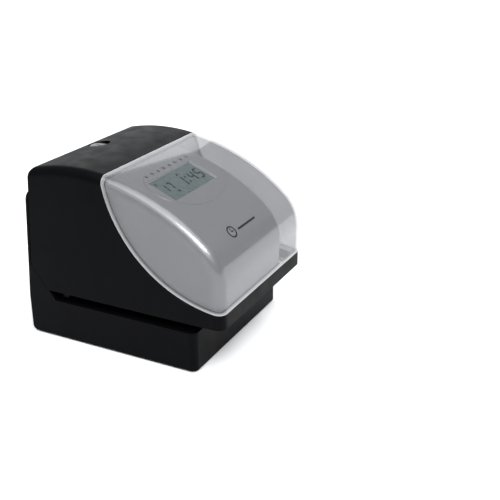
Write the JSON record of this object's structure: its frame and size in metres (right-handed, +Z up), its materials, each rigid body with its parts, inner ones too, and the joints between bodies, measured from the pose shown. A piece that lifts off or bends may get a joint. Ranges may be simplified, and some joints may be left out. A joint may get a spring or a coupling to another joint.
{
  "type": "time recorder",
  "caption": "Desk time recorder: an open card throat under a clear front, silver display fascia, lift-off black cover with a key lock, and a dot printer inside.",
  "frame": {"origin": "on the desk, under the middle of the machine's bounding box", "axes": "+Z up; -Y towards the user, who inserts the card from there; +X to the user's right"},
  "size_m": [0.162, 0.2043, 0.1682],
  "materials": {
    "black_shell": "satin moulded black",
    "clear_front": "polished clear",
    "silver_fascia": "silver paint on plastic",
    "lock_plated": "bright plating",
    "steel_sheet": "zinc plated sheet",
    "screw_steel": "zinc plated",
    "ground_steel": "ground and polished",
    "motor_steel": "plated can",
    "battery_steel": "nickel plated",
    "head_aluminium": "cast",
    "bronze": "sintered",
    "foot_rubber": "matt",
    "platen_rubber": "matt",
    "belt_rubber": "matt",
    "dark_plastic": "moulded",
    "pale_plastic": "moulded",
    "cartridge_plastic": "moulded",
    "button_plastic": "moulded",
    "board_green": "lacquered board",
    "ribbon_fabric": "inked nylon",
    "lead_plastic": "soft cover",
    "lcd": "greenish grey liquid crystal"
  },
  "bodies": {
    "frame": {"base_housing": "black_shell", "rear_panel": "black_shell", "fascia": "silver_fascia", "lock_bracket": "steel_sheet", "base_plate": "steel_sheet", "base_screws": "screw_steel", "rubber_feet": "foot_rubber", "panel_fixings": "screw_steel", "lower_chassis": "steel_sheet", "rear_columns": "steel_sheet", "platen_frame": "steel_sheet", "platen_pad": "platen_rubber", "trigger_bracket": "steel_sheet", "trigger_pin": "screw_steel", "trigger_spring": "screw_steel", "trigger_switch": "dark_plastic", "card_guide": "dark_plastic", "upper_floor": "steel_sheet", "mechanism_frames": "steel_sheet", "guide_shafts": "ground_steel", "shaft_clips": "screw_steel", "timing_belt": "belt_rubber", "stepper_motor": "motor_steel", "motor_bracket": "steel_sheet", "idler_bracket": "steel_sheet", "inner_screws": "screw_steel", "ribbon_cartridge": "cartridge_plastic", "ink_ribbon": "ribbon_fabric", "main_board": "board_green", "board_fixings": "screw_steel", "board_parts": "dark_plastic", "battery_holder": "dark_plastic", "backup_battery": "battery_steel", "power_jack": "dark_plastic", "power_lead": "lead_plastic", "control_bracket": "steel_sheet", "control_board": "board_green", "button_switches": "dark_plastic", "lcd_glass": "lcd", "lcd_strips": "belt_rubber", "lcd_board": "board_green", "display_cable": "lead_plastic"},
    "cover": {"top_cover": "black_shell", "clear_front": "clear_front", "lock_body": "lock_plated"},
    "lock": {"lock_plug": "lock_plated", "lock_cam": "steel_sheet"},
    "carriage": {"carriage": "dark_plastic", "carriage_bushings": "bronze", "print_head": "head_aluminium", "belt_clamp": "dark_plastic"},
    "motor_rotor": {"motor_pulley": "pale_plastic", "motor_shaft": "ground_steel"},
    "idler": {"idler_pulley": "pale_plastic"},
    "ribbon_drive": {"ribbon_knob": "pale_plastic"},
    "trigger": {"card_trigger": "dark_plastic"},
    "card_stop": {"card_stop": "dark_plastic"},
    "button_1": {"set_button_1": "button_plastic"},
    "button_2": {"set_button_2": "button_plastic"},
    "button_3": {"set_button_3": "button_plastic"}
  },
  "joints": [
    {"name": "cover_lift", "type": "slide", "parent": "frame", "child": "cover", "axis": [0, -0.0724, 0.9974], "range_m": [0, 0.12]},
    {"name": "lock_turn", "type": "hinge", "parent": "cover", "child": "lock", "pos_m": [0, 0.071, 0.16], "axis": [0, 0, 1], "range_deg": [0, 90]},
    {"name": "carriage_travel", "type": "slide", "parent": "frame", "child": "carriage", "axis": [1, 0, 0], "range_m": [0, 0.038]},
    {"name": "motor_turn", "type": "hinge", "parent": "frame", "child": "motor_rotor", "pos_m": [-0.012, 0.043, 0.074], "axis": [0, 1, 0], "range_deg": [-335, 0]},
    {"name": "idler_turn", "type": "hinge", "parent": "frame", "child": "idler", "pos_m": [0.066, 0.043, 0.074], "axis": [0, 1, 0], "range_deg": [-335, 0]},
    {"name": "ribbon_turn", "type": "hinge", "parent": "frame", "child": "ribbon_drive", "pos_m": [0.014, -0.013, 0.066], "axis": [0, 0, 1], "range_deg": [0, 185]},
    {"name": "trigger_swing", "type": "hinge", "parent": "frame", "child": "trigger", "pos_m": [-0.006, 0.04, 0.028], "axis": [1, 0, 0], "range_deg": [-25, 0], "stiffness_Nm_per_rad": 0.01, "springref_deg": 17.19},
    {"name": "stop_travel", "type": "slide", "parent": "frame", "child": "card_stop", "axis": [0, -1, 0], "range_m": [0, 0.014]},
    {"name": "button_1_press", "type": "slide", "parent": "frame", "child": "button_1", "axis": [0, 0, -1], "range_m": [0, 0.0008], "stiffness_N_per_m": 600},
    {"name": "button_2_press", "type": "slide", "parent": "frame", "child": "button_2", "axis": [0, 0, -1], "range_m": [0, 0.0008], "stiffness_N_per_m": 600},
    {"name": "button_3_press", "type": "slide", "parent": "frame", "child": "button_3", "axis": [0, 0, -1], "range_m": [0, 0.0008], "stiffness_N_per_m": 600}
  ],
  "couplings": [
    {"joint": "motor_turn", "follows": "carriage_travel", "rad_per_m": -151.51},
    {"joint": "idler_turn", "follows": "carriage_travel", "rad_per_m": -151.51},
    {"joint": "ribbon_turn", "follows": "carriage_travel", "rad_per_m": 82.7}
  ]
}
